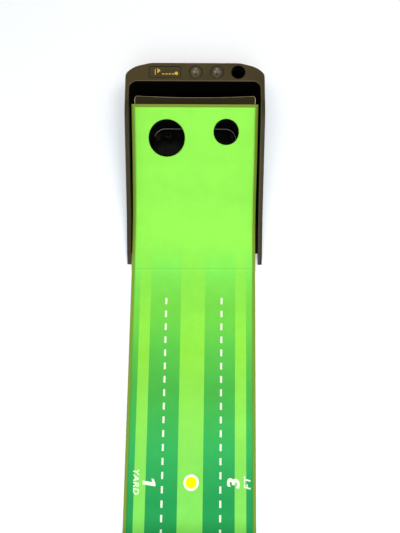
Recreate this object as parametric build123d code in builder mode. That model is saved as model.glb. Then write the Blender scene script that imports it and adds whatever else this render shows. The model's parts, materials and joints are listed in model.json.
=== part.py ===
from build123d import *
import os
from math import cos, pi, radians, sin, sqrt, tan

# Putting cup: a moulded frame holds a ramp with two holes, a well behind it and rests for golf balls.
# The ramp is a flap that lifts on a hinge at its foot, so that the balls can be taken out of the tray
# under the holes. The putting mat is held on the flap and runs out over the floor, and the rest of
# its length is rolled up.
#
# Frame: X across, Y from the mat's roll (-Y) towards the back of the frame (+Y), Z up. The origin is on
# the floor, at the centre of the whole object's footprint. Lengths are in millimetres. A reach is a
# distance back from the toe of the ramp, the line where the mat climbs on to it.

# --- Driving dimensions ---

# Frame
frame_width = 404
rail_width = 12.5
wall = 2.5
frame_height = 119
frame_bottom = 1.0
header_back_reach = 588.5
header_depth = 58
header_middle_shift = 1.5
rail_tip_reach = 12
rail_joint_reach = 472
frame_height_reach = 436
well_corner_radius = 22
outer_edge_radius = 5
inner_edge_radius = 1.5
shoulder_start_x = 130
shoulder_turn_x = 180
shoulder_turn_drop = 13
shoulder_end_drop = 34
shoulder_radii = [90, 70, 22]

# Side view of a rail's top: (reach, height) of the corners between its nose and its full height
rail_nose_height = 5
rail_low_corner = (38, 15)
rail_rise_corner = (150, 37)
rail_top_radii = [60, 500, 220]
rail_tongue_length = 22
rail_tongue_low = 20

# Base plate and feet
plate_bottom = 2.0
plate_thickness = 2.2
plate_front_reach = 46
plate_gap = 0.3
toe_side_gap = 14.5
foot_radius = 8
foot_inset = 4.7
side_foot_reaches = [62, 215, 365, 530]
back_foot_x = 75
back_foot_reach = 572
front_foot_x = 60
front_foot_reach = 172

# Ramp
toe_thickness = 2.0
toe_angle = 2.0
ramp_angle = 15.5
ramp_blend_radius = 614
ramp_rise_reach = 155
flap_width = 354
flap_thickness = 2.5
flap_skirt = 12
well_gap = 39.5
lip_hollow = 4.5
lip_corner_radius = 9
lip_edge_radius = 2.0
rib_xs = [-155, 12, 150]
rib_width = 2
rib_start_reach = 200

# Holes in the ramp
large_hole_radius = 53.0
large_hole_x = -83
large_hole_back_reach = 430.5
small_hole_radius = 36.7
small_hole_x = 92
small_hole_back_reach = 432
hole_wall = 2.5

# Hinge of the flap
hinge_reach = 148
hinge_height = 4.5
hinge_x = 110
pin_radius = 1.5
pin_clearance = 0.05
pin_chamfer = 0.3
knuckle_radius = 3.8
knuckle_length = 20
lug_length = 8
hinge_side_gap = 0.3
hinge_turning_gap = 0.5
toe_back_gap = 8

# Ball tray
tray_width = 254
tray_back_reach = 429
tray_depth = 125
tray_height = 28
tray_wall = 2.2
tray_corner_radius = 36
tray_divider_x = -93
tray_divider_height = 14
tray_divider_gap = 40
tray_rim_radius = 0.9
tray_boss_x = -82
tray_boss_size = 20
tray_boss_reach = 409

# Ball rests and name plate
ball_radius = 21.35
rest_wall = 1.2
rest_seat_inset = 0.65
rest_clearance = 0.2
rest_mid_x = 63.5
rest_pitch = 61.5
rest_drain_radius = 2
rest_collar = 14
rest_ledge_thickness = 1.5
rest_ledge_width = 2.2
plate_sign_x = -87
plate_sign_width = 93
plate_sign_depth = 36
plate_sign_thickness = 1.0
plate_sign_recess = 0.5
plate_sign_corner = 2
emblem_thickness = 0.25

# Mat
mat_length = 3000
mat_width = 370
mat_thickness = 3.0
mat_end_reach = 471
mat_climb = 14
mat_bend_radius = 20
binding_width = 8
mat_hole_margin = 0.8
hook_thickness = 1.0
hook_width = 25
hook_side_inset = 8
upper_hook_reach = 447
lower_hook_reach = 290
flap_mat_gap = 2.5
runner_gap = 2
runner_reach = 798
roll_core_radius = 12
roll_pitch = 3.4

# Screws
screw_radius = 1.45
screw_head_radius = 2.8
screw_head_height = 1.6
screw_length = 12
rail_screw_length = 10
tray_screw_length = 9
screw_tip_gap = 0.2
screw_hole_radius = 1.7
pilot_radius = 1.5
boss_radius = 4
header_screw_xs = [-155, -32, 32, 155]
rail_screw_reaches = [100, 260, 410]
toe_screw_xs = [-150, 0, 150]
toe_screw_inset = 8
tray_screw_inset = 22

# Running clearance where two pieces stand next to each other
seat_gap = 0.3

# --- Derived sizes and places ---

rest_seat_radius = ball_radius - rest_seat_inset
half_frame = frame_width / 2
opening_half = half_frame - rail_width
toe_half = opening_half - toe_side_gap
plate_top = plate_bottom + plate_thickness
header_front_reach = header_back_reach - header_depth
header_mid_reach = header_back_reach - header_depth / 2 - header_middle_shift
lip_reach = header_front_reach - well_gap
flap_half = flap_width / 2
core_half = mat_width / 2 - binding_width
mat_low = hook_thickness
mat_high = hook_thickness + mat_thickness
toe_back_reach = hinge_reach - toe_back_gap
tray_mid_reach = tray_back_reach - tray_depth / 2

corner_reach = ramp_rise_reach
corner_z = toe_thickness + corner_reach * tan(radians(toe_angle))
large_hole_reach = large_hole_back_reach - large_hole_radius * cos(radians(ramp_angle))
small_hole_reach = small_hole_back_reach - small_hole_radius * cos(radians(ramp_angle))
holes = [
    (large_hole_x, large_hole_reach, large_hole_radius),
    (small_hole_x, small_hole_reach, small_hole_radius),
]

mat_on_ramp = mat_end_reach + (mat_end_reach - corner_reach) * (1 / cos(radians(ramp_angle)) - 1)
rolled_length = mat_length - runner_reach - mat_on_ramp
roll_radius = sqrt(roll_core_radius**2 + rolled_length * roll_pitch / pi)

# The toe's place puts the origin in the middle of the footprint.
toe_y = (runner_reach + roll_radius - header_back_reach) / 2

# A length that reaches past any piece, for cutting tools
beyond = 1000


def at(reach):
    """Y of a distance back from the toe."""
    return toe_y + reach


def ramp_corner(lift):
    """Reach and height where the toe's line and the slope's line meet, both raised square to themselves."""
    half_turn = radians(ramp_angle - toe_angle) / 2
    lean = radians(ramp_angle + toe_angle) / 2
    shift = lift / cos(half_turn)
    return corner_reach - shift * sin(lean), corner_z + shift * cos(lean)


def toe_height(reach, lift):
    """Height over the toe's straight part, raised by lift."""
    corner = ramp_corner(lift)
    return corner[1] + (reach - corner[0]) * tan(radians(toe_angle))


def slope_height(reach, lift):
    """Height over the slope's straight part, raised by lift."""
    corner = ramp_corner(lift)
    return corner[1] + (reach - corner[0]) * tan(radians(ramp_angle))


def ramp_line(lift):
    """Corner points and radii of a line that follows the ramp at a lift, past its back end."""
    end = header_back_reach
    points = [(at(0), toe_height(0, lift))]
    points += [(at(ramp_corner(lift)[0]), ramp_corner(lift)[1]), (at(end), slope_height(end, lift))]
    return points, [ramp_blend_radius - lift]


def mat_line(lift):
    """Corner points and radii of a line through the mat, lift above its underside: floor, climb, ramp."""
    over_ramp = mat_low + lift
    points, radii = ramp_line(over_ramp)
    floor = [(at(-beyond), lift), (at(-mat_climb), lift)]
    return floor + points, [mat_bend_radius, mat_bend_radius] + radii


def layer(low_line, high_line, start, end):
    """Section in the YZ plane between two lines of corner points, from reach start to reach end."""
    with BuildSketch(Plane.YZ) as section:
        with BuildLine():
            low = FilletPolyline(*low_line[0], radius=low_line[1])
            high = FilletPolyline(*high_line[0], radius=high_line[1])
            Line(low @ 0, high @ 0)
            Line(low @ 1, high @ 1)
        make_face()
        with Locations((at((start + end) / 2), 0)):
            Rectangle(end - start, 2 * beyond, mode=Mode.INTERSECT)
    return section.sketch


def ramp_layer(low, high, start, end):
    """Section of a layer along the ramp, between two lifts above its top."""
    return layer(ramp_line(low), ramp_line(high), start, end)


def mat_layer(start, end):
    """Section of the mat, from its underside to the tips of its pile."""
    return layer(mat_line(0), mat_line(mat_thickness), start, end)


def slope_plane(x, reach, lift):
    """A plane on the slope, its normal square to the slope, at a lift above the ramp's top."""
    origin = (x, at(reach), slope_height(reach, lift))
    normal = (0, -sin(radians(ramp_angle)), cos(radians(ramp_angle)))
    return Plane(origin=origin, x_dir=(1, 0, 0), z_dir=normal)


def frame_outline():
    """Plan of the frame: straight sides, and a back that sweeps round to them in two steps."""
    side_y = at(header_back_reach - shoulder_end_drop)
    turn_y = at(header_back_reach - shoulder_turn_drop)
    back_y = at(header_back_reach)
    front_y = at(rail_tip_reach)
    with BuildSketch() as outline:
        with BuildLine():
            edge = FilletPolyline(
                (0, back_y),
                (shoulder_start_x, back_y),
                (shoulder_turn_x, turn_y),
                (half_frame, side_y),
                (half_frame, front_y),
                radius=shoulder_radii,
            )
            Polyline(edge @ 1, (0, front_y), (0, back_y))
        make_face()
        mirror(about=Plane.YZ)
    return outline.sketch


def opening_outline(grow):
    """Plan of the opening between the rails, up to the header's front wall, grown by a margin."""
    front = at(-beyond)
    back = at(header_front_reach) + grow
    half = opening_half + grow
    with BuildSketch() as opening:
        with Locations((0, (front + back) / 2)):
            Rectangle(2 * half, back - front)
        rear = opening.vertices().group_by(Axis.Y)[-1]
        fillet(rear, well_corner_radius + grow)
    return opening.sketch


def flap_outline(inset):
    """Plan of the flap from its hinge to its lip, which is a shallow hollow arc with rounded corners."""
    half = flap_half - inset
    ends_y = at(lip_reach + lip_hollow) - inset
    middle_y = at(lip_reach) - inset
    front_y = at(hinge_reach)
    with BuildSketch() as plan:
        with BuildLine():
            ThreePointArc((-half, ends_y), (0, middle_y), (half, ends_y))
            Polyline((half, ends_y), (half, front_y), (-half, front_y), (-half, ends_y))
        make_face()
        rear = plan.vertices().group_by(Axis.Y)[-1]
        fillet(rear, lip_corner_radius - inset)
    return plan.sketch


rest_xs = [rest_mid_x + step * rest_pitch for step in (-1, 0, 1)]
rest_places = [(x, header_mid_reach) for x in rest_xs]
rest_seat_depth = wall + rest_collar - rest_ledge_thickness

# --- Where the screws go: (x, reach) ---

header_screws = [(x, header_mid_reach) for x in header_screw_xs]
rail_screw_x = half_frame - rail_width / 2
rail_screws = [(side * rail_screw_x, reach) for side in (-1, 1) for reach in rail_screw_reaches]
toe_screws = [(x, toe_back_reach - toe_screw_inset) for x in toe_screw_xs]
tray_screws = [
    (side * (tray_width / 2 - tray_screw_inset), tray_back_reach - tray_depth + tray_screw_inset)
    for side in (-1, 1)
]
all_screws = header_screws + rail_screws + toe_screws + tray_screws
foot_x = toe_half + plate_gap + foot_radius + foot_inset
feet_places = [(side * foot_x, reach) for side in (-1, 1) for reach in side_foot_reaches]
feet_places += [(side * back_foot_x, back_foot_reach) for side in (-1, 1)]
feet_places += [(side * front_foot_x, front_foot_reach) for side in (-1, 1)]
lug_middle = (knuckle_length + lug_length) / 2 + hinge_side_gap


def sites(places):
    """Places given as (x, reach), as points of a plan."""
    return [(x, at(reach)) for x, reach in places]


os.makedirs("parts", exist_ok=True)

# --- Header: the back of the frame, a shell that is open below ---

with BuildPart() as header:
    with BuildSketch(Plane.XY.offset(frame_bottom)) as header_plan:
        add(frame_outline())
        add(opening_outline(0), mode=Mode.SUBTRACT)
        with Locations((0, at(rail_joint_reach) - beyond / 2)):
            Rectangle(beyond, beyond, mode=Mode.SUBTRACT)
    extrude(amount=frame_height - frame_bottom)
    top_edges = header.faces().sort_by(Axis.Z)[-1].edges()
    sloped_or_back = top_edges.filter_by(lambda e: e.center().Y > at(rail_joint_reach) + 0.1)
    outer_edges = sloped_or_back.filter_by(
        lambda e: abs(e.center().X) > opening_half + 0.1 or e.center().Y > at(header_mid_reach)
    )
    fillet(outer_edges, outer_edge_radius)
    well_edges = (
        header.faces()
        .sort_by(Axis.Z)[-1]
        .edges()
        .filter_by(
            lambda e: at(rail_joint_reach) + 0.1 < e.center().Y < at(header_front_reach) + 0.1
            and abs(e.center().X) < opening_half + 0.1
        )
    )
    fillet(well_edges, inner_edge_radius)
    # The inside, a wall's thickness in from every side, and open at the rail joints
    with BuildSketch(Plane.XY.offset(frame_bottom)) as header_inside:
        add(offset(frame_outline(), amount=-wall, mode=Mode.PRIVATE))
        add(opening_outline(wall), mode=Mode.SUBTRACT)
        with Locations((0, at(rail_joint_reach) - beyond / 2)):
            Rectangle(beyond, beyond, mode=Mode.SUBTRACT)
    extrude(amount=frame_height - wall - frame_bottom, mode=Mode.SUBTRACT)
    # The seats of the ball rests, with a short collar under each
    with BuildSketch(Plane.XY.offset(frame_height - wall)):
        with Locations(*sites(rest_places)):
            Circle(rest_seat_radius + wall)
    extrude(amount=-rest_collar)
    with BuildSketch(Plane.XY.offset(frame_height)):
        with Locations(*sites(rest_places)):
            Circle(rest_seat_radius)
    extrude(amount=-rest_seat_depth, mode=Mode.SUBTRACT)
    with BuildSketch(Plane.XY.offset(frame_height - rest_seat_depth)):
        with Locations(*sites(rest_places)):
            Circle(rest_seat_radius - rest_ledge_width)
    extrude(amount=-rest_ledge_thickness, mode=Mode.SUBTRACT)
    # The pocket of the name plate
    with BuildSketch(Plane.XY.offset(frame_height)):
        with Locations((plate_sign_x, at(header_mid_reach))):
            RectangleRounded(plate_sign_width, plate_sign_depth, plate_sign_corner)
    extrude(amount=-(plate_sign_thickness + plate_sign_recess), mode=Mode.SUBTRACT)
    # Bosses that stand on the base plate and take the screws
    with BuildSketch(Plane.XY.offset(plate_top)):
        with Locations(*sites(header_screws)):
            Circle(boss_radius)
            Circle(pilot_radius, mode=Mode.SUBTRACT)
    extrude(amount=frame_height - wall - plate_top)
    # The inner walls stand on the base plate
    with BuildSketch():
        add(offset(frame_outline(), amount=-wall, mode=Mode.PRIVATE))
    extrude(amount=plate_top, mode=Mode.SUBTRACT)
header.part.label = "header"
export_step(header.part, "parts/header.step")

# --- Rails: the frame's two sides, which plug into the header ---

rail_top = [
    (rail_tip_reach, rail_nose_height),
    rail_low_corner,
    rail_rise_corner,
    (frame_height_reach, frame_height),
    (rail_joint_reach, frame_height),
]


def rail_section(start, drop, bottom):
    """Section of a rail from reach start to the joint, with its top lowered by drop."""
    points = [(at(reach), z - drop) for reach, z in rail_top]
    with BuildSketch(Plane.YZ.offset(opening_half)) as section:
        with BuildLine():
            top = FilletPolyline(*points, radius=rail_top_radii)
            Polyline(top @ 0, (at(rail_tip_reach), bottom), (at(rail_joint_reach), bottom), top @ 1)
        make_face()
        with Locations((at(start) + beyond / 2, 0)):
            Rectangle(beyond, beyond, mode=Mode.INTERSECT)
    return section.sketch


with BuildPart() as right_rail:
    extrude(rail_section(rail_tip_reach, 0, frame_bottom), amount=rail_width)
    outer = right_rail.edges().filter_by(
        lambda e: abs(e.center().X - half_frame) < 0.01
        and e.center().Z > rail_nose_height
        and e.center().Y < at(rail_joint_reach) - 0.1
    )
    fillet(outer, outer_edge_radius)
    inner = right_rail.edges().filter_by(
        lambda e: abs(e.center().X - opening_half) < 0.01
        and e.center().Z > rail_nose_height
        and e.center().Y < at(rail_joint_reach) - 0.1
    )
    fillet(inner, inner_edge_radius)
    # The hollow inside, open below, starts behind the solid tip
    hollow = extrude(
        rail_section(plate_front_reach, wall, frame_bottom - 1),
        amount=rail_width - 2 * wall,
        mode=Mode.PRIVATE,
    )
    add(hollow.moved(Location((wall, 0, 0))), mode=Mode.SUBTRACT)
    # Blocks across the hollow for the screws, and the plug with its tongue for the header
    block_length = 10
    block_height = 9
    with BuildSketch(Plane.XY.offset(plate_top)):
        with Locations(*[(rail_screw_x, at(reach)) for reach in rail_screw_reaches]):
            Rectangle(rail_width - 2 * wall, block_length)
            Circle(pilot_radius, mode=Mode.SUBTRACT)
    extrude(amount=block_height)
    plug_length = 12
    tongue_gap = 0.3
    tongue_high = frame_height - wall - tongue_gap
    with BuildSketch(Plane.XY.offset(rail_tongue_low)):
        with Locations((rail_screw_x, at(rail_joint_reach - plug_length / 2))):
            Rectangle(rail_width - 2 * wall, plug_length)
        with Locations((rail_screw_x, at(rail_joint_reach + rail_tongue_length / 2))):
            Rectangle(rail_width - 2 * wall - 2 * tongue_gap, rail_tongue_length)
    extrude(amount=tongue_high - rail_tongue_low)
    # Room for the base plate, which runs under the inner wall as far as the outer one
    plate_room = half_frame - wall - opening_half + 1
    with BuildSketch():
        with Locations((opening_half - 1 + plate_room / 2, at(plate_front_reach) - plate_gap + beyond / 2)):
            Rectangle(plate_room, beyond)
    extrude(amount=plate_top, mode=Mode.SUBTRACT)
right_rail.part.label = "right_rail"
export_step(right_rail.part, "parts/right_rail.step")

with BuildPart() as left_rail:
    mirror(right_rail.part, about=Plane.YZ)
left_rail.part.label = "left_rail"
export_step(left_rail.part, "parts/left_rail.step")

# --- Base plate: the floor of the well, with walls that carry the flap and lugs for its hinge ---

toe_overlap = 22
support_wall = 2.5
support_start_reach = 225
support_end_reach = lip_reach - 8
plate_half = half_frame - wall - plate_gap

with BuildPart() as base_plate:
    with BuildSketch(Plane.XY.offset(plate_bottom)):
        add(offset(frame_outline(), amount=-(wall + plate_gap), mode=Mode.PRIVATE))
        with Locations((0, at(plate_front_reach) - beyond / 2)):
            Rectangle(beyond, beyond, mode=Mode.SUBTRACT)
        with Locations((0, at(toe_back_reach - toe_overlap) - beyond / 2)):
            Rectangle(2 * (toe_half + plate_gap), beyond, mode=Mode.SUBTRACT)
    extrude(amount=plate_thickness)
    # The flap's skirts come down on these two walls
    for side in (-1, 1):
        with BuildSketch(Plane.YZ.offset(side * (flap_half - flap_thickness / 2))):
            with BuildLine():
                Polyline(
                    (at(support_start_reach), plate_bottom + 1),
                    (at(support_start_reach), slope_height(support_start_reach, -flap_skirt - seat_gap)),
                    (at(support_end_reach), slope_height(support_end_reach, -flap_skirt - seat_gap)),
                    (at(support_end_reach), plate_bottom + 1),
                    close=True,
                )
            make_face()
        extrude(amount=support_wall / 2, both=True)
    # Lugs of the hinge, and openings between them for the flap's knuckles
    for x in (-hinge_x, hinge_x):
        for side in (-1, 1):
            lug_plane = Plane.YZ.offset(x + side * lug_middle)
            with BuildSketch(lug_plane):
                with Locations((at(hinge_reach), hinge_height)):
                    Circle(knuckle_radius)
            extrude(amount=lug_length / 2, both=True)
            with BuildSketch(lug_plane):
                with Locations((at(hinge_reach), hinge_height)):
                    Circle(pin_radius + pin_clearance)
            extrude(amount=lug_length / 2, both=True, mode=Mode.SUBTRACT)
        with BuildSketch(Plane.XY.offset(plate_bottom)):
            with Locations((x, at(hinge_reach))):
                Rectangle(
                    knuckle_length + 2 * hinge_side_gap, 2 * (knuckle_radius + hinge_turning_gap)
                )
        extrude(amount=plate_thickness, mode=Mode.SUBTRACT)
    # Screw holes
    with BuildSketch(Plane.XY.offset(plate_bottom)):
        with Locations(*sites(all_screws)):
            Circle(screw_hole_radius)
    extrude(amount=plate_thickness, mode=Mode.SUBTRACT)
base_plate.part.label = "base_plate"
export_step(base_plate.part, "parts/base_plate.step")

# --- Toe ramp: the low front of the ramp, which lies on the floor and on the plate's front edge ---

with BuildPart() as toe_ramp:
    with BuildSketch(Plane.YZ):
        with BuildLine():
            toe_top = FilletPolyline(*ramp_line(0)[0], radius=ramp_line(0)[1])
            Polyline(toe_top @ 0, (at(0), 0), (at(header_back_reach), 0), toe_top @ 1)
        make_face()
        with Locations((at(toe_back_reach / 2), 0)):
            Rectangle(toe_back_reach, beyond, mode=Mode.INTERSECT)
    extrude(amount=toe_half, both=True)
    # Step over the base plate
    with BuildSketch():
        with Locations((0, at(toe_back_reach - toe_overlap) - plate_gap + beyond / 2)):
            Rectangle(beyond, beyond)
    extrude(amount=plate_top, mode=Mode.SUBTRACT)
    # Pilots for the screws from below
    toe_pilot_depth = 1.6
    with BuildSketch(Plane.XY.offset(plate_top)):
        with Locations(*sites(toe_screws)):
            Circle(pilot_radius)
    extrude(amount=toe_pilot_depth, mode=Mode.SUBTRACT)
    # Grooves underneath keep the moulding's section even
    groove_width = 24
    groove_pitch = 30
    groove_reach = 84
    groove_length = 50
    groove_depth = 2.0
    with BuildSketch():
        with Locations((0, at(groove_reach))):
            with GridLocations(groove_pitch, 1, 11, 1):
                Rectangle(groove_width, groove_length)
    extrude(amount=groove_depth, mode=Mode.SUBTRACT)
toe_ramp.part.label = "toe_ramp"
export_step(toe_ramp.part, "parts/toe_ramp.step")

# --- Ramp flap: the lifting part of the ramp, with both holes and the lip over the well ---

flap_floor = plate_top + seat_gap
flap_front_reach = hinge_reach - 1

with BuildPart() as flap_hollow:
    with BuildSketch():
        add(flap_outline(flap_thickness))
        with Locations((0, at(hinge_reach) + flap_thickness - beyond / 2)):
            Rectangle(beyond, beyond, mode=Mode.SUBTRACT)
    extrude(amount=beyond)
    under_section = ramp_layer(-flap_skirt - 1, -flap_thickness, flap_front_reach, header_back_reach)
    extrude(under_section, amount=half_frame, both=True, mode=Mode.INTERSECT)

with BuildPart() as ramp_flap:
    with BuildSketch():
        add(flap_outline(0))
    extrude(amount=beyond)
    block_section = ramp_layer(-flap_skirt, 0, flap_front_reach, header_back_reach)
    extrude(block_section, amount=half_frame, both=True, mode=Mode.INTERSECT)
    # Round the top edge along the sides and the lip
    top_rim = ramp_flap.faces().filter_by(lambda f: f.normal_at().Z > 0.9).edges()
    fillet(
        top_rim.filter_by(
            lambda e: abs(e.center().X) > flap_half - lip_corner_radius or e.center().Y > at(lip_reach) - 1
        ),
        lip_edge_radius,
    )
    add(flap_hollow.part, mode=Mode.SUBTRACT)
    # Walls round the holes, and ribs between them
    rib_height = flap_skirt - 2
    for x, reach, radius in holes:
        with BuildSketch(slope_plane(x, reach, -flap_thickness / 2)):
            Circle(radius + hole_wall)
        extrude(amount=-(flap_skirt - flap_thickness / 2))
    rib_section = ramp_layer(-rib_height, -flap_thickness / 2, rib_start_reach, lip_reach - 1)
    rib = extrude(rib_section, amount=rib_width / 2, both=True, mode=Mode.PRIVATE)
    for x in rib_xs:
        add(rib.moved(Location((x, 0, 0))))
    for x, reach, radius in holes:
        with BuildSketch(slope_plane(x, reach, 0)):
            Circle(radius)
        extrude(amount=flap_skirt * 3, both=True, mode=Mode.SUBTRACT)
    # The ribs stay clear of the ball tray
    with BuildSketch():
        with Locations((0, at(tray_mid_reach))):
            RectangleRounded(tray_width + 2 * seat_gap, tray_depth + 2 * seat_gap, tray_corner_radius)
    extrude(amount=plate_top + tray_height + seat_gap, mode=Mode.SUBTRACT)
    # Nothing of the flap is lower than the base plate, apart from the knuckles
    with BuildSketch():
        with Locations((0, at(hinge_reach) + beyond / 2)):
            Rectangle(2 * beyond, 2 * beyond)
    extrude(amount=flap_floor, mode=Mode.SUBTRACT)
    for x in (-hinge_x, hinge_x):
        with BuildSketch(Plane.YZ.offset(x)):
            with Locations((at(hinge_reach), hinge_height)):
                Circle(knuckle_radius)
        extrude(amount=knuckle_length / 2, both=True)
        with BuildSketch(Plane.YZ.offset(x)):
            with Locations((at(hinge_reach), hinge_height)):
                Circle(pin_radius + pin_clearance)
        extrude(amount=knuckle_length / 2, both=True, mode=Mode.SUBTRACT)
        for side in (-1, 1):
            with BuildSketch(Plane.YZ.offset(x + side * lug_middle)):
                with Locations((at(hinge_reach), hinge_height)):
                    Circle(knuckle_radius + hinge_turning_gap)
            extrude(amount=lug_length / 2 + hinge_side_gap, both=True, mode=Mode.SUBTRACT)
ramp_flap.part.label = "ramp_flap"
export_step(ramp_flap.part, "parts/ramp_flap.step")

# --- Hinge pins ---

pin_half = knuckle_length / 2 + hinge_side_gap + lug_length
for name, x in (("left", -hinge_x), ("right", hinge_x)):
    with BuildPart() as hinge_pin:
        with BuildSketch(Plane.YZ.offset(x)):
            with Locations((at(hinge_reach), hinge_height)):
                Circle(pin_radius)
        extrude(amount=pin_half, both=True)
        chamfer(hinge_pin.edges(), pin_chamfer)
    hinge_pin.part.label = f"{name}_hinge_pin"
    export_step(hinge_pin.part, f"parts/{name}_hinge_pin.step")

# --- Ball tray: an open box under both holes ---

with BuildPart() as ball_tray:
    with BuildSketch(Plane.XY.offset(plate_top)):
        with Locations((0, at(tray_mid_reach))):
            RectangleRounded(tray_width, tray_depth, tray_corner_radius)
    extrude(amount=tray_height)
    with BuildSketch(Plane.XY.offset(plate_top + tray_wall)):
        with Locations((0, at(tray_mid_reach))):
            RectangleRounded(
                tray_width - 2 * tray_wall, tray_depth - 2 * tray_wall, tray_corner_radius - tray_wall
            )
    extrude(amount=tray_height, mode=Mode.SUBTRACT)
    fillet(ball_tray.edges().group_by(Axis.Z)[-1], tray_rim_radius)
    # A rib along the floor and a square boss near the back wall, with a blind hole
    divider_length = tray_depth - tray_divider_gap
    divider_reach = tray_back_reach - tray_depth + divider_length / 2 + tray_wall / 2
    with BuildSketch(Plane.XY.offset(plate_top + tray_wall)):
        with Locations((tray_divider_x, at(divider_reach))):
            Rectangle(tray_wall, divider_length)
    extrude(amount=tray_divider_height - tray_wall)
    with BuildSketch(Plane.XY.offset(plate_top + tray_wall)):
        with Locations((tray_boss_x, at(tray_boss_reach))):
            Rectangle(tray_boss_size, tray_boss_size)
    extrude(amount=tray_height - tray_wall)
    boss_hole_radius = 4.5
    boss_hole_depth = 16
    with BuildSketch(Plane.XY.offset(plate_top + tray_height)):
        with Locations((tray_boss_x, at(tray_boss_reach))):
            Circle(boss_hole_radius)
    extrude(amount=-boss_hole_depth, mode=Mode.SUBTRACT)
    # Low bosses for the screws from below
    tray_boss_height = 10
    with BuildSketch(Plane.XY.offset(plate_top)):
        with Locations(*sites(tray_screws)):
            Circle(boss_radius)
    extrude(amount=tray_boss_height)
    with BuildSketch(Plane.XY.offset(plate_top)):
        with Locations(*sites(tray_screws)):
            Circle(pilot_radius)
    extrude(amount=tray_boss_height - tray_wall / 2, mode=Mode.SUBTRACT)
ball_tray.part.label = "ball_tray"
export_step(ball_tray.part, "parts/ball_tray.step")

# --- Ball rests: two drained bowls that drop into seats in the header. The third seat is open. ---

rest_outer_radius = rest_seat_radius - rest_clearance
rest_inner_radius = rest_outer_radius - rest_wall
bowl_depth = ball_radius - sqrt(ball_radius**2 - rest_inner_radius**2)
ball_height = frame_height - bowl_depth + ball_radius
for name, x in zip(("middle", "right"), rest_xs):
    ball_place = Location((x, at(header_mid_reach), ball_height))
    with BuildPart() as rest_under:
        with BuildSketch(Plane.XY.offset(frame_height - rest_seat_depth)):
            with Locations((x, at(header_mid_reach))):
                Circle(rest_inner_radius)
        extrude(amount=rest_seat_depth)
        add(Sphere(ball_radius + rest_wall, mode=Mode.PRIVATE).moved(ball_place), mode=Mode.SUBTRACT)
    with BuildPart() as ball_rest:
        with BuildSketch(Plane.XY.offset(frame_height)):
            with Locations((x, at(header_mid_reach))):
                Circle(rest_outer_radius)
        extrude(amount=-rest_seat_depth)
        add(rest_under.part, mode=Mode.SUBTRACT)
        add(Sphere(ball_radius, mode=Mode.PRIVATE).moved(ball_place), mode=Mode.SUBTRACT)
        with BuildSketch(Plane.XY.offset(frame_height)):
            with Locations((x, at(header_mid_reach))):
                Circle(rest_drain_radius)
        extrude(amount=-rest_seat_depth, mode=Mode.SUBTRACT)
    ball_rest.part.label = f"{name}_ball_rest"
    export_step(ball_rest.part, f"parts/{name}_ball_rest.step")

# --- Name plate and its emblem: a pennant, a line of dashes and a ball ---

sign_gap = 0.3
sign_top = frame_height - plate_sign_recess
with BuildPart() as name_plate:
    with BuildSketch(Plane.XY.offset(sign_top)):
        with Locations((plate_sign_x, at(header_mid_reach))):
            RectangleRounded(
                plate_sign_width - 2 * sign_gap, plate_sign_depth - 2 * sign_gap, plate_sign_corner - sign_gap
            )
    extrude(amount=-plate_sign_thickness)
name_plate.part.label = "name_plate"
export_step(name_plate.part, "parts/name_plate.step")

# Places on the emblem are measured from the middle of the plate.
pole_x = -28
pole_width = 2.2
pole_length = 18
pennant_base = 16
pennant_side = 12
pennant_y = 4.2
dash_x = -5
dash_y = -6
dash_count = 4
dash_pitch = 9.5
dash_length = 6.5
dash_width = 3
ball_mark_x = 33
ball_mark_y = -4
ball_mark_radius = 5

with BuildPart() as emblem:
    with BuildSketch(Plane.XY.offset(sign_top)):
        with Locations((plate_sign_x, at(header_mid_reach))):
            with Locations((pole_x, 0)):
                Rectangle(pole_width, pole_length)
            with Locations((pole_x + pole_width / 2 + pennant_base / 2, pennant_y)):
                Triangle(a=pennant_base, b=pennant_side, c=pennant_side, rotation=-90)
            for step in range(dash_count):
                with Locations((dash_x + step * dash_pitch, dash_y)):
                    Rectangle(dash_length, dash_width)
            with Locations((ball_mark_x, ball_mark_y)):
                Circle(ball_mark_radius)
    extrude(amount=emblem_thickness)
emblem.part.label = "emblem"
export_step(emblem.part, "parts/emblem.step")

# --- Feet ---

with BuildPart() as feet:
    with BuildSketch():
        with Locations(*sites(feet_places)):
            Circle(foot_radius)
    extrude(amount=plate_bottom)
feet.part.label = "feet"
export_step(feet.part, "parts/feet.step")

# --- Screws: heads under the base plate, shanks up into the bosses ---

toe_screw_length = plate_thickness + toe_pilot_depth - screw_tip_gap
screw_groups = {
    "header_screws": (header_screws, screw_length),
    "rail_screws": (rail_screws, rail_screw_length),
    "toe_screws": (toe_screws, toe_screw_length),
    "tray_screws": (tray_screws, tray_screw_length),
}
for name, (places, length) in screw_groups.items():
    with BuildPart() as screws:
        with BuildSketch(Plane.XY.offset(plate_bottom - screw_head_height)):
            with Locations(*sites(places)):
                Circle(screw_head_radius)
        extrude(amount=screw_head_height)
        with BuildSketch(Plane.XY.offset(plate_bottom)):
            with Locations(*sites(places)):
                Circle(screw_radius)
        extrude(amount=length)
    screws.part.label = name
    export_step(screws.part, f"parts/{name}.step")

# --- Hook tapes: they hold the mat on the flap, above and below the holes ---

for name, reach in (("upper_hook_tape", upper_hook_reach), ("lower_hook_tape", lower_hook_reach)):
    with BuildPart() as hook_tape:
        half_run = hook_width / 2 * cos(radians(ramp_angle))
        tape = ramp_layer(0, hook_thickness, reach - half_run, reach + half_run)
        extrude(tape, amount=core_half - hook_side_inset, both=True)
    hook_tape.part.label = name
    export_step(hook_tape.part, f"parts/{name}.step")

# --- Mat: the end on the flap, the runner on the floor, and the roll. Its binding is a piece of its own. ---

flap_mat_start = hinge_reach + flap_mat_gap
runner_end = toe_back_reach - runner_gap
core_end_reach = mat_end_reach - binding_width * cos(radians(ramp_angle))

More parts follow.
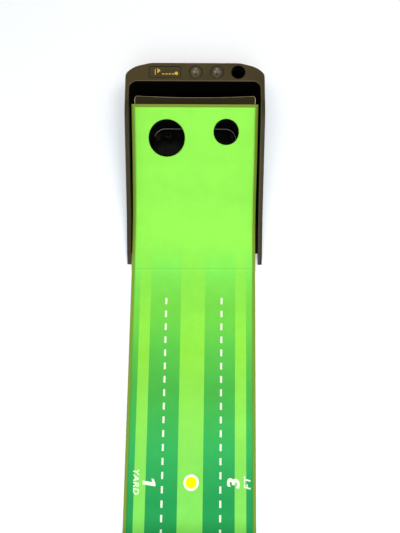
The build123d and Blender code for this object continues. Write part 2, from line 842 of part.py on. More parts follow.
with BuildPart() as mat_end:
    extrude(mat_layer(flap_mat_start, core_end_reach), amount=core_half, both=True)
    for x, reach, radius in holes:
        with BuildSketch(slope_plane(x, reach, 0)):
            Circle(radius + mat_hole_margin)
        extrude(amount=flap_skirt, both=True, mode=Mode.SUBTRACT)
mat_end.part.label = "mat_end"
export_step(mat_end.part, "parts/mat_end.step")

with BuildPart() as end_binding:
    extrude(mat_layer(flap_mat_start, mat_end_reach), amount=mat_width / 2, both=True)
    core_section = mat_layer(flap_mat_start - 1, core_end_reach)
    extrude(core_section, amount=core_half, both=True, mode=Mode.SUBTRACT)
end_binding.part.label = "end_binding"
export_step(end_binding.part, "parts/end_binding.step")

roll_y = at(-runner_reach)
with BuildPart() as roll_room:
    with BuildSketch(Plane.YZ):
        with Locations((roll_y, roll_radius)):
            Circle(roll_radius + seat_gap)
    extrude(amount=beyond, both=True)

runner_start = -runner_reach
with BuildPart() as mat_runner:
    extrude(mat_layer(runner_start, runner_end), amount=core_half, both=True)
    add(roll_room.part, mode=Mode.SUBTRACT)
    # What is left past the roll's lowest line is a sliver, and goes with the roll
    with BuildSketch():
        with Locations((0, roll_y)):
            Rectangle(beyond, 2 * sqrt(2 * roll_radius * mat_thickness))
    extrude(amount=beyond, mode=Mode.SUBTRACT)
mat_runner.part.label = "mat_runner"
export_step(mat_runner.part, "parts/mat_runner.step")

with BuildPart() as runner_binding:
    for side in (-1, 1):
        edge_middle = side * (mat_width / 2 - binding_width / 2)
        strip = extrude(
            mat_layer(runner_start, runner_end), amount=binding_width / 2, both=True, mode=Mode.PRIVATE
        )
        add(strip.moved(Location((edge_middle, 0, 0))))
    with BuildSketch():
        with Locations((0, roll_y)):
            Rectangle(beyond, 2 * sqrt(2 * roll_radius * mat_thickness))
    extrude(amount=beyond, mode=Mode.SUBTRACT)
runner_binding.part.label = "runner_binding"
export_step(runner_binding.part, "parts/runner_binding.step")

with BuildPart() as mat_roll:
    with BuildSketch(Plane.YZ):
        with Locations((roll_y, roll_radius)):
            Circle(roll_radius)
    extrude(amount=mat_width / 2, both=True)
mat_roll.part.label = "mat_roll"
export_step(mat_roll.part, "parts/mat_roll.step")
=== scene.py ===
"""Looks of the putting cup: the mat as one sheet with its binding and marks, the mouldings' finishes,
the camera and the light. Lengths are in metres. X is across, Y runs towards the back of the frame and
Z is up. A place on the mat is given by x and by s, the distance along the mat from its end on the
ramp.
"""

import json
import math

import bpy
import numpy as np
from mathutils import Matrix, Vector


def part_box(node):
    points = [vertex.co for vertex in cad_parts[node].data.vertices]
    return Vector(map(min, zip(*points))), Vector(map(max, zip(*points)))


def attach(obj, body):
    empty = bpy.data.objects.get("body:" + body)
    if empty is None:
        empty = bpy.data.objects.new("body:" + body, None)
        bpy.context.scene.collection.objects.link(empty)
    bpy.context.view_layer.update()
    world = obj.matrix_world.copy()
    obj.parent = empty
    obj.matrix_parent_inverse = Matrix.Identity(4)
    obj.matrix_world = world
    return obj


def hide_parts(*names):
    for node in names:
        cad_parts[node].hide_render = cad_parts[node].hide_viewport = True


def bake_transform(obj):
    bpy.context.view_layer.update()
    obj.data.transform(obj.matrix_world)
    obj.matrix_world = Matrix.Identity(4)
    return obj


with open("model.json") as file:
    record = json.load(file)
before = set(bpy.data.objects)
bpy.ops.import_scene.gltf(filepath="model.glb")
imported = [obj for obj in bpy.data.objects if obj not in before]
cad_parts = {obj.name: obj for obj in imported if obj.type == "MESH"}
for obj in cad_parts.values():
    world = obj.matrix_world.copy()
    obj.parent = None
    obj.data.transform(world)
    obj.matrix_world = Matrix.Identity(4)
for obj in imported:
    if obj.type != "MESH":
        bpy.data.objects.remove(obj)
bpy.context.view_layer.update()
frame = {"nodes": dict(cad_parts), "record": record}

# --- Sizes of the mat ---

MAT_WIDTH = 0.370
MAT_LENGTH = 3.0
MAT_THICKNESS = 0.003
BINDING_WIDTH = 0.009
HOOK_THICKNESS = 0.001
HOLE_MARGIN = 0.0008
# The mat lies askew: its shift in x for each metre, and where that starts
LEAN = -0.0095
LEAN_START = 0.16
# How the mat comes down from the ramp: its bend at the ramp's foot, the toe, and the climb on to it
BLEND_RADIUS = 0.614
TOE_THICKNESS = 0.002
TOE_ANGLE = math.radians(2.0)
CLIMB_LENGTH = 0.014
BEND_RADIUS = 0.020
ROLL_PITCH = 0.0034

# --- Fineness of the meshes ---

LINE_STEP = 0.004
SPIRAL_STEP = math.radians(11)
ACROSS_STEP = 0.0068
RAMP_STEP = 0.0062
FLOOR_STEP = 0.011
EDGE_RAMP_STEP = 0.008
EDGE_ACROSS_STEP = 0.01
FINE_PAST_TOE = 0.03
SECTION_CORNERS = 18
RING_CORNERS = 64

# --- Places taken from the frame ---

roll_low, roll_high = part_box("mat_roll")
end_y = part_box("end_binding")[1].y
mounts = {mount["name"]: mount for mount in frame["record"]["mounts"]}
toe_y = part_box("toe_ramp")[0].y
roll_radius = (roll_high.z - roll_low.z) / 2
roll_y = (roll_low.y + roll_high.y) / 2
ramp_angle = math.atan2(-mounts["large_cup_bore"]["axis"][1], mounts["large_cup_bore"]["axis"][2])


# --- The line that the mat follows ---


def straight_and_arcs(corners, radii, step):
    """A line through corners, each inner corner rounded by an arc that touches both of its runs.

    An arc of radius R at a turn of angle t starts R * tan(t / 2) before the corner and ends as far
    after it. Points on the arc are centre + R * (cos, sin) at even angles.
    """
    corners = np.asarray(corners, float)
    pieces = [corners[:1]]
    for i, radius in enumerate(radii, start=1):
        arrive = corners[i] - corners[i - 1]
        leave = corners[i + 1] - corners[i]
        arrive /= np.linalg.norm(arrive)
        leave /= np.linalg.norm(leave)
        turn = math.atan2(arrive[0] * leave[1] - arrive[1] * leave[0], arrive @ leave)
        cut = radius * math.tan(abs(turn) / 2)
        side = math.copysign(1.0, turn)
        centre = corners[i] - cut * arrive + side * radius * np.array([-arrive[1], arrive[0]])
        count = max(6, int(radius * abs(turn) / step))
        angles = math.atan2(-side * arrive[0], side * arrive[1]) + np.linspace(0, turn, count)
        pieces.append(centre + radius * np.stack([np.cos(angles), np.sin(angles)], axis=1))
    pieces.append(corners[-1:])
    return np.concatenate(pieces)


def cup_rim(mount):
    """Where a cup bore's axis meets the mat's underside, as (y, z).

    That is half the bore's length up from its middle, and the hook tape's thickness more.
    """
    middle, axis = np.array(mount["pos_m"][1:]), np.array(mount["axis"][1:])
    return middle + axis * (mount["dims"]["length_mm"] / 2000 + HOOK_THICKNESS)


def mat_line():
    """The mat's underside in the YZ plane, from its end on the ramp to the inside of the roll.

    The slope's top passes through the cup's rim, square to the cup's axis, and the toe's top rises
    from the toe's edge. Both are raised by the hook tape. The roll is a spiral about the roll's
    centre, of radius R - pitch * turn / (2 pi), which starts at the floor.
    """
    rim = cup_rim(mounts["large_cup_bore"])
    toe_start = np.array([toe_y, TOE_THICKNESS + HOOK_THICKNESS / math.cos(TOE_ANGLE)])
    down_slope = np.array([-math.cos(ramp_angle), -math.sin(ramp_angle)])
    down_toe = np.array([-math.cos(TOE_ANGLE), -math.sin(TOE_ANGLE)])
    along = np.linalg.solve(np.stack([down_slope, -down_toe], axis=1), toe_start - rim)
    bend = rim + along[0] * down_slope
    end = rim + down_slope * (end_y - rim[0]) / down_slope[0]
    corners = [end, bend, toe_start, (toe_y - CLIMB_LENGTH, 0), (roll_y, 0)]
    radii = [BLEND_RADIUS - HOOK_THICKNESS, BEND_RADIUS, BEND_RADIUS]
    flat = straight_and_arcs(corners, radii, LINE_STEP)
    flat_length = np.linalg.norm(np.diff(flat, axis=0), axis=1).sum()
    rolled = MAT_LENGTH - flat_length
    # The spiral's length is R * turn - pitch * turn**2 / (4 pi), solved for the turn.
    p = ROLL_PITCH / (4 * math.pi)
    last_turn = (roll_radius - math.sqrt(roll_radius**2 - 4 * p * rolled)) / (2 * p)
    turns = np.linspace(0, last_turn, int(last_turn / SPIRAL_STEP))[1:]
    radius = roll_radius - ROLL_PITCH * turns / (2 * math.pi)
    spiral_y = roll_y - radius * np.sin(turns)
    spiral_z = roll_radius - radius * np.cos(turns)
    return np.concatenate([flat, np.stack([spiral_y, spiral_z], axis=1)])


LINE = mat_line()
RUNS = np.concatenate([[0], np.cumsum(np.linalg.norm(np.diff(LINE, axis=0), axis=1))])
# The line's directions at its points
DIRECTIONS = np.gradient(LINE, RUNS, axis=0)
DIRECTIONS /= np.linalg.norm(DIRECTIONS, axis=1, keepdims=True)


def run_to(y):
    """How far along the mat its flat part has come to a Y."""
    flat = RUNS[: np.argmin(np.abs(LINE[:, 0] - roll_y)) + 1]
    ys = LINE[: len(flat), 0]
    return float(np.interp(-y, -ys, flat))


ROLL_START = run_to(roll_y)
# A length too small to matter
NEARLY = 1e-9


def mat_place(x, s, lift):
    """The point at x across and s along the mat, lifted from its underside along the line's normal.

    The mat lies slightly askew: from the start of its lean to the roll, x moves by LEAN for each metre
    of s.
    """
    x = x + LEAN * (np.clip(s, LEAN_START, ROLL_START) - LEAN_START)
    y = np.interp(s, RUNS, LINE[:, 0])
    z = np.interp(s, RUNS, LINE[:, 1])
    dy = np.interp(s, RUNS, DIRECTIONS[:, 0])
    dz = np.interp(s, RUNS, DIRECTIONS[:, 1])
    length = np.hypot(dy, dz)
    return np.stack([x + 0 * y, y + lift * dz / length, z - lift * dy / length], axis=-1)


# --- Making meshes ---


def add_piece(name, points, faces, uv=None, smooth=True):
    """A mesh object from arrays of points and faces, with a UV map called place if uv is given."""
    mesh = bpy.data.meshes.new(name)
    mesh.from_pydata(points.reshape(-1, 3), [], faces)
    if uv is not None:
        layer = mesh.uv_layers.new(name="place")
        loops = np.zeros(len(mesh.loops), np.int32)
        mesh.loops.foreach_get("vertex_index", loops)
        layer.data.foreach_set("uv", uv.reshape(-1, 2)[loops].ravel().astype(np.float32))
    mesh.polygons.foreach_set("use_smooth", np.full(len(mesh.polygons), smooth))
    mesh.update()
    piece = bpy.data.objects.new(name, mesh)
    bpy.context.scene.collection.objects.link(piece)
    return piece


def grid_faces(rows, columns, around=False):
    """Quads of a grid whose points are stored row by row. around joins the last column to the first.

    They face along the cross product of the rows' direction with the columns' direction.
    """
    numbers = np.arange(rows * columns).reshape(rows, columns)
    right = np.roll(numbers, -1, axis=1) if around else numbers[:, 1:]
    left = numbers if around else numbers[:, :-1]
    quads = np.stack([left[:-1], left[1:], right[1:], right[:-1]], axis=-1)
    return quads.reshape(-1, 4)


def stations(breaks, step):
    """Values from the first break to the last that hold every break, at most a step apart."""
    breaks = np.sort(np.asarray(breaks, float))
    runs = [
        np.linspace(a, b, max(2, int(math.ceil((b - a) / step)) + 1))[:-1]
        for a, b in zip(breaks[:-1], breaks[1:])
    ]
    return np.concatenate(runs + [breaks[-1:]])


# --- The mat's sheet ---

# The sheet's edge lies inside the binding
CORE_INSET = 0.001
CORE_HALF = MAT_WIDTH / 2 - BINDING_WIDTH + CORE_INSET
# Each cup's hole in the mat, as (x, s, radius)
HOLES = [
    (
        mount["pos_m"][0],
        math.hypot(*(LINE[0] - cup_rim(mount))),
        mount["dims"]["r_mm"] / 1000 + HOLE_MARGIN,
    )
    for mount in (mounts["large_cup_bore"], mounts["small_cup_bore"])
]
# Half sides of the squares that the grid turns into circles between, as shares of the hole's radius
INNER_SHARE = 0.71
OUTER_SHARE = 1.38


def make_mat():
    """The pile's surface as a grid in x and s, with its round holes, made thick by Solidify.

    Round each hole the grid's square rings turn into circles. A point keeps its direction from the
    hole's centre and stands (1 - t) * r + t * e away. There e is the distance in that direction to the
    outer square, and t goes from 0 at the inner square, which becomes the hole, to 1 at the outer one.
    """
    xs = [-CORE_HALF, CORE_HALF]
    ss = [CORE_INSET]
    for x, s, r in HOLES:
        xs += [x - INNER_SHARE * r, x + INNER_SHARE * r]
        ss += [s - INNER_SHARE * r, s + INNER_SHARE * r]
    across = stations(xs, ACROSS_STEP)
    ramp_end = run_to(toe_y - FINE_PAST_TOE)
    along = np.concatenate([
        stations(ss + [ramp_end], RAMP_STEP)[:-1],
        stations([ramp_end, ROLL_START], FLOOR_STEP)[:-1],
        RUNS[RUNS >= ROLL_START - NEARLY],
    ])
    s, x = np.meshgrid(along, across, indexing="ij")
    keep = np.ones((len(along) - 1, len(across) - 1), bool)
    for hole_x, hole_s, r in HOLES:
        dx, ds = x - hole_x, s - hole_s
        ring = np.maximum(np.abs(dx), np.abs(ds))
        far = np.maximum(np.hypot(dx, ds), NEARLY)
        t = np.clip((ring - INNER_SHARE * r) / ((OUTER_SHARE - INNER_SHARE) * r), 0, 1)
        outer = far * OUTER_SHARE * r / np.maximum(ring, NEARLY)
        scale = np.where(ring < OUTER_SHARE * r, ((1 - t) * r + t * outer) / far, 1)
        x, s = hole_x + dx * scale, hole_s + ds * scale
        middle = (ring[:-1, :-1] + ring[1:, 1:] + ring[:-1, 1:] + ring[1:, :-1]) / 4
        keep &= middle > INNER_SHARE * r
    faces = grid_faces(len(along), len(across))[keep.ravel()]
    uv = np.stack([x / MAT_WIDTH + 0.5, s / MAT_LENGTH], axis=-1)
    used, faces = np.unique(faces, return_inverse=True)
    points = mat_place(x, s, MAT_THICKNESS).reshape(-1, 3)[used]
    mat = add_piece("mat", points, faces.reshape(-1, 4), uv.reshape(-1, 2)[used])
    thick = mat.modifiers.new("thickness", "SOLIDIFY")
    thick.thickness = MAT_THICKNESS
    thick.offset = -1
    return mat


# --- The binding round the mat's edges, with its stitches ---

# How far the tape stands out past the mat's faces, and how near the floor it may come
BINDING_PROUD = 0.0004
FLOOR_GAP = 0.00005
# The tape's section is a superellipse of this power
SECTION_POWER = 5


def edge_route(inset):
    """The route round the mat's edges in x and s: up the left side, across the end and down the right.

    Also gives the number of its points along one side.
    """
    x = MAT_WIDTH / 2 - inset
    side = np.concatenate([
        stations([inset, run_to(toe_y - FINE_PAST_TOE)], EDGE_RAMP_STEP)[:-1],
        stations([run_to(toe_y - FINE_PAST_TOE), ROLL_START], FLOOR_STEP),
        RUNS[RUNS > ROLL_START],
    ])
    across = stations([-x, x], EDGE_ACROSS_STEP)[1:-1]
    left = np.stack([np.full(len(side), -x), side[::-1]], axis=1)
    end = np.stack([across, np.full(len(across), inset)], axis=1)
    right = np.stack([np.full(len(side), x), side], axis=1)
    return np.concatenate([left, end, right]), len(side)


def make_binding():
    """A woven tape folded over the mat's edge: a flattened oval section carried round the edges.

    The section is |a / half width|**n + |b / half height|**n = 1, with points at even angles u where a
    goes by cos(u)**(2 / n) and b by sin(u)**(2 / n). At the two corners it is mitred: its offset lies
    along the line that halves the corner, longer by 1 / cos(45 deg).
    """
    route, corner = edge_route(BINDING_WIDTH / 2)
    turn = np.linspace(0, 2 * math.pi, SECTION_CORNERS, endpoint=False)
    half_high = MAT_THICKNESS / 2 + BINDING_PROUD
    a, b = (
        np.sign(share) * np.abs(share) ** (2 / SECTION_POWER) * half
        for share, half in ((np.cos(turn), BINDING_WIDTH / 2), (np.sin(turn), half_high))
    )
    outward = np.zeros_like(route)
    outward[:corner, 0] = -1
    outward[corner:-corner, 1] = -1
    outward[-corner:, 0] = 1
    outward[corner - 1] = (-1, -1)
    outward[-corner] = (1, -1)
    x = route[:, None, 0] + outward[:, None, 0] * a
    s = route[:, None, 1] + outward[:, None, 1] * a
    lift = np.maximum(MAT_THICKNESS / 2 + b + 0 * x, 0) + FLOOR_GAP
    points = mat_place(x, np.clip(s, 0, RUNS[-1]), lift)
    gone = np.concatenate([[0], np.cumsum(np.linalg.norm(np.diff(route, axis=0), axis=1))])
    uv = np.stack(np.broadcast_arrays(turn / (2 * math.pi), gone[:, None]), axis=-1)
    faces = grid_faces(len(route), len(turn), around=True)[:, ::-1].tolist()
    last = (len(route) - 1) * len(turn)
    faces += [list(range(len(turn))), [last + i for i in reversed(range(len(turn)))]]
    return add_piece("mat_binding", points, faces, uv)


STITCH_PITCH = 0.0036
STITCH_HALF_LONG = 0.0012
STITCH_HALF_WIDE = 0.00035
SEAM_INSET = BINDING_WIDTH - 0.0018
SEAM_STOPS_BEFORE_ROLL = 0.05


def make_stitches():
    """Running stitches along the binding: six-cornered grains, long in the seam's direction."""
    x_side = MAT_WIDTH / 2 - SEAM_INSET
    s_side = np.arange(SEAM_INSET, ROLL_START - SEAM_STOPS_BEFORE_ROLL, STITCH_PITCH)
    x_end = np.arange(-x_side + STITCH_PITCH / 2, x_side, STITCH_PITCH)
    centres = np.concatenate([
        np.stack([np.full(len(s_side), -x_side), s_side], axis=1),
        np.stack([x_end, np.full(len(x_end), SEAM_INSET)], axis=1),
        np.stack([np.full(len(s_side), x_side), s_side], axis=1),
    ])
    across_end = np.zeros(len(centres), bool)
    across_end[len(s_side) : len(s_side) + len(x_end)] = True
    along = STITCH_HALF_LONG * np.array([-1, 1, 0, 0, 0, 0])
    beside = STITCH_HALF_WIDE * np.array([0, 0, -1, 1, 0, 0])
    up = STITCH_HALF_WIDE * np.array([0, 0, 0, 0, -1, 1])
    x = centres[:, None, 0] + np.where(across_end[:, None], along, beside)
    s = centres[:, None, 1] + np.where(across_end[:, None], beside, along)
    points = mat_place(x, s, MAT_THICKNESS + BINDING_PROUD + up)
    upper = [[0, 2, 5], [2, 1, 5], [1, 3, 5], [3, 0, 5]]
    lower = [[2, 0, 4], [1, 2, 4], [3, 1, 4], [0, 3, 4]]
    corners = np.array(upper + lower)
    flip = np.where(across_end[:, None, None], corners[:, ::-1], corners)
    faces = flip + 6 * np.arange(len(centres))[:, None, None]
    return add_piece("binding_stitches", points, faces.reshape(-1, 3))


# --- Printed marks ---

PRINT_LIFT = MAT_THICKNESS + 0.00012
DASH_START = 0.0885
DASH_PITCH = 0.0377
DASH_LENGTH = 0.0190
DASH_WIDTH = 0.0058
DASH_X = (-0.0790, 0.0850)
DASHES_STOP_BEFORE_ROLL = 0.03
SPOT_X = 0.0028
SPOT_Y_BEFORE_TOE = 0.6066
SPOT_RADIUS = 0.0157
RING_INNER_RADIUS = 0.0156
RING_OUTER_RADIUS = 0.0221
SPOT_CENTRE_RADIUS = 0.0002


def make_dashes():
    """Two rows of short bars along the mat."""
    start = run_to(toe_y) + DASH_START
    count = int((ROLL_START - DASHES_STOP_BEFORE_ROLL - start) / DASH_PITCH) + 1
    first = start + DASH_PITCH * np.arange(count)
    t = np.linspace(0, 1, 5)
    side = np.array([-1.0, 1.0])
    x = np.array(DASH_X)[:, None, None, None] + DASH_WIDTH / 2 * side
    s = first[None, :, None, None] + DASH_LENGTH * t[:, None] + 0 * side
    x, s = np.broadcast_arrays(x, s)
    bars = x.shape[0] * x.shape[1]
    quads = grid_faces(len(t), 2)
    faces = (quads + 2 * len(t) * np.arange(bars)[:, None, None]).reshape(-1, 4)
    return add_piece("lane_dashes", mat_place(x, s, PRINT_LIFT), faces)


def make_ring(name, s, inner, outer, filled=False):
    """A flat ring round the spot's centre, from inner to outer radius. filled closes its middle."""
    turn = np.linspace(0, 2 * math.pi, RING_CORNERS, endpoint=False)
    radius = np.linspace(outer, inner, 4)[:, None]
    faces = grid_faces(len(radius), len(turn), around=True).tolist()
    if filled:
        faces.append([(len(radius) - 1) * len(turn) + i for i in reversed(range(len(turn)))])
    places = mat_place(SPOT_X + radius * np.cos(turn), s + radius * np.sin(turn), PRINT_LIFT)
    return add_piece(name, places, faces)


def print_shape(name, mesh, height, x, y, up_x, wide):
    """Lays a flat shape on the mat, scaled to its height, with its top towards +X or -X."""
    places = np.zeros(len(mesh.vertices) * 3)
    mesh.vertices.foreach_get("co", places)
    places = places.reshape(-1, 3)
    low, high = places.min(axis=0), places.max(axis=0)
    flat = (places - (low + high) / 2) * height / (high[1] - low[1])
    # Tops point along up_x, so the line of reading runs along -up_x * Y.
    across = x + up_x * flat[:, 1]
    along = y - up_x * wide * flat[:, 0]
    laid = np.stack([across, along, np.full(len(flat), PRINT_LIFT)], axis=1)
    mesh.vertices.foreach_set("co", laid.ravel())
    mesh.update()
    shape = bpy.data.objects.new(name, mesh)
    bpy.context.scene.collection.objects.link(shape)
    return shape


def make_word(name, words, height, x, y, up_x, slant, wide, weight, spacing=1.0):
    """Plain bold slanted letters, printed flat on the mat."""
    curve = bpy.data.curves.new(name, "FONT")
    curve.body = words
    curve.shear = slant
    curve.offset = weight
    curve.space_character = spacing
    maker = bpy.data.objects.new(name + "_maker", curve)
    bpy.context.scene.collection.objects.link(maker)
    bpy.context.view_layer.update()
    seen = maker.evaluated_get(bpy.context.evaluated_depsgraph_get())
    mesh = bpy.data.meshes.new_from_object(seen)
    bpy.data.objects.remove(maker)
    return print_shape(name, mesh, height, x, y, up_x, wide)


def make_one(name, height, x, y, up_x, wide):
    """The figure 1: a slanted bar with a short flag at its top, in shares of its height."""
    bar = [(0.22, 0.0), (0.46, 0.0), (0.60, 1.0), (0.42, 1.0)]
    flag = [(0.12, 0.86), (0.09, 0.68), (0.33, 0.75)]
    outline = np.array([(*corner, 0) for corner in bar + flag])
    mesh = bpy.data.meshes.new(name)
    mesh.from_pydata(outline, [], [list(range(len(outline)))])
    return print_shape(name, mesh, height, x, y, up_x, wide)


# --- Materials ---

# Where most of a noise's values lie
NOISE_LOW, NOISE_HIGH = 0.3, 0.7


class Paint:
    """A node material being put together: nodes are added and joined in reading order."""

    def __init__(self, name, roughness=0.5, **inputs):
        self.material = bpy.data.materials.new(name)
        self.material.use_nodes = True
        self.tree = self.material.node_tree
        self.shader = self.tree.nodes["Principled BSDF"]
        self.shader.inputs["Roughness"].default_value = roughness
        for key, value in inputs.items():
            self.shader.inputs[key.replace("_", " ")].default_value = value

    def node(self, kind, *sources, **settings):
        """Adds a node. Sources go to its inputs in turn, by put. Settings are the node's own."""
        made = self.tree.nodes.new("ShaderNode" + kind)
        for key, value in settings.items():
            setattr(made, key, value)
        for i, source in enumerate(sources):
            self.put(source, made.inputs[i])
        return made

    def put(self, source, socket):
        """Joins a socket to an input, or sets the input to a number or colour. None leaves it."""
        if source is None:
            return
        if isinstance(source, bpy.types.NodeSocket):
            self.tree.links.new(source, socket)
        else:
            socket.default_value = source

    def math(self, operation, *sources):
        return self.node("Math", *sources, operation=operation).outputs[0]

    def step(self, value, low, high):
        """Smooth step of a value from 0 at low to 1 at high."""
        made = self.node("MapRange", value, low, high, 0.0, 1.0, interpolation_type="SMOOTHSTEP")
        return made.outputs[0]

    def mix(self, factor, a, b):
        """A colour from a to b by factor. The node's colour sockets are inputs 6 and 7, output 2."""
        made = self.node("Mix", data_type="RGBA")
        self.put(factor, made.inputs[0])
        self.put(a, made.inputs[6])
        self.put(b, made.inputs[7])
        return made.outputs[2]

    def ramp(self, value, stops):
        """A colour that changes along a value, through (value, colour) stops in rising order."""
        low, high = stops[0][0], stops[-1][0]
        share = self.node("MapRange", value, low, high, 0.0, 1.0).outputs[0]
        made = self.node("ValToRGB", share)
        while len(made.color_ramp.elements) < len(stops):
            made.color_ramp.elements.new(0.5)
        for element, (place, colour) in zip(made.color_ramp.elements, stops):
            element.position = (place - low) / (high - low)
            element.color = rgb(*colour)
        return made.outputs[0]

    def noise(self, vector, scale, detail=2.0):
        made = self.node("TexNoise", vector)
        made.inputs["Scale"].default_value = scale
        made.inputs["Detail"].default_value = detail
        return made.outputs[0]

    def spread(self, noise, low, high):
        """A noise's usual values, spread from low to high."""
        return self.node("MapRange", noise, NOISE_LOW, NOISE_HIGH, low, high).outputs[0]

    def stretched(self, place, along_x, along_yz):
        """A place scaled by one number along X and another along Y and Z."""
        scale = (along_x, along_yz, along_yz)
        return self.node("Mapping", place, None, None, scale).outputs[0]

    def colour(self, source):
        self.put(source, self.shader.inputs["Base Color"])

    def bump(self, height, strength, distance):
        made = self.node("Bump")
        made.inputs["Strength"].default_value = strength
        made.inputs["Distance"].default_value = distance
        self.put(height, made.inputs["Height"])
        self.put(made.outputs[0], self.shader.inputs["Normal"])


def rgb(red, green, blue):
    """A colour given in display values from 0 to 255, as linear light."""
    shares = np.array([red, green, blue]) / 255
    linear = np.where(shares <= 0.04045, shares / 12.92, ((shares + 0.055) / 1.055) ** 2.4)
    return (*linear.tolist(), 1.0)


def pile_paint(name, colour_of):
    """Short velvet pile: tufts from fine noise, painted light and shade of its waves from coarse
    noise, and a slight sheen.
    """
    sheen = {"Sheen_Weight": 0.04, "Sheen_Roughness": 0.5}
    paint = Paint(name, roughness=0.95, Specular_IOR_Level=0.06, **sheen)
    place = paint.node("TexCoord").outputs["Object"]
    tufts = paint.noise(place, 1500.0)
    # The mat's gentle waves are painted as broad soft bands of light and shade across it, and the pile
    # varies in small patches
    painted_waves = paint.noise(paint.stretched(place, 1.2, 6.0), 1.0)
    patches = paint.noise(place, 26.0, 3.0)
    colour = colour_of(paint, place)
    tuft_shade = paint.spread(tufts, 0.90, 1.06)
    wave_light_and_shade = paint.spread(painted_waves, 0.94, 1.05)
    patch_shade = paint.spread(patches, 0.975, 1.025)
    shade = paint.math("MULTIPLY", tuft_shade, paint.math("MULTIPLY", wave_light_and_shade, patch_shade))
    scaled = paint.node("VectorMath", colour, operation="SCALE")
    paint.put(shade, scaled.inputs["Scale"])
    paint.colour(scaled.outputs[0])
    paint.bump(tufts, 0.55, 0.0007)
    return paint.material


LIME = (151, 240, 82)
# The colour of the painted shade in the crease
CREASE_SHADE_GREEN = (70, 130, 50)
# Colours by the distance along the mat past the toe: (metres, colour)
LIGHT_STRIPE = [
    (0.0, (142, 230, 78)),
    (0.25, (144, 222, 66)),
    (0.45, (144, 226, 86)),
    (0.66, (134, 220, 90)),
]
DARK_STRIPE = [
    (0.0, (132, 230, 85)),
    (0.12, (117, 210, 69)),
    (0.24, (93, 192, 71)),
    (0.36, (76, 179, 70)),
    (0.52, (58, 177, 88)),
    (0.66, (40, 154, 80)),
]
# The stripes' edges, as distances from the mat's middle, and how far they blur
STRIPE_EDGES = (0.0358, 0.1254, 0.1577)
STRIPE_BLUR = 0.0006
# The lime turns into stripes over this part of the way past the toe
STRIPES_FADE_IN = (-0.09, 0.015)
# Half width and strength of the painted shade line in the crease
CREASE_HALF = 0.0022
CREASE_SHADE_SHARE = 0.22


def striped_green(paint, place):
    """The mat's colours: lime on the ramp, and printed stripes across x that darken along the mat."""
    uv = paint.node("UVMap", uv_map="place").outputs[0]
    parts = paint.node("SeparateXYZ", uv)
    across = paint.math("MULTIPLY", paint.math("SUBTRACT", parts.outputs[0], 0.5), MAT_WIDTH)
    away = paint.math("ABSOLUTE", across)
    s = paint.math("MULTIPLY", parts.outputs[1], MAT_LENGTH)
    centre, inner, outer = (
        paint.step(away, at - STRIPE_BLUR, at + STRIPE_BLUR) for at in STRIPE_EDGES
    )
    # 1 in the dark stripes: past the centre stripe, but not between the inner and outer edges
    dark = paint.math("SUBTRACT", centre, paint.math("SUBTRACT", inner, outer))
    past = paint.math("SUBTRACT", s, run_to(toe_y))
    stripes = paint.mix(dark, paint.ramp(past, LIGHT_STRIPE), paint.ramp(past, DARK_STRIPE))
    colour = paint.mix(paint.step(past, *STRIPES_FADE_IN), rgb(*LIME), stripes)
    # Painted shade: the crease where the mat bends on to the ramp is a thin darker line
    off_crease = paint.step(paint.math("ABSOLUTE", past), 0.0, CREASE_HALF)
    crease_shade = paint.math("MULTIPLY_ADD", off_crease, -CREASE_SHADE_SHARE, CREASE_SHADE_SHARE)
    return paint.mix(crease_shade, colour, rgb(*CREASE_SHADE_GREEN))


GRIT_SCALE = 900.0
GRIT_DEPTH = 0.00025
# Ranges of the normal's upward share: from walls to tops, and where rounded edges begin and end
WALL_TO_TOP = (0.25, 0.93)
EDGE_BEGINS = (0.1, 0.4)
EDGE_ENDS = (0.82, 0.93)
# The flap's top slopes, so its edges end nearer to the slope's own share
LIP_WALL_TO_TOP = (0.2, 0.9)
LIP_EDGE_ENDS = (0.93, 0.962)
# How far an edge has to face in before it takes the painted highlight, and the grit's values that take
# it
HIGHLIGHT_FACING = (0.12, 0.45)
HIGHLIGHT_GRIT = (0.1, 0.5)
CLOUD_LIGHTER = 1.14


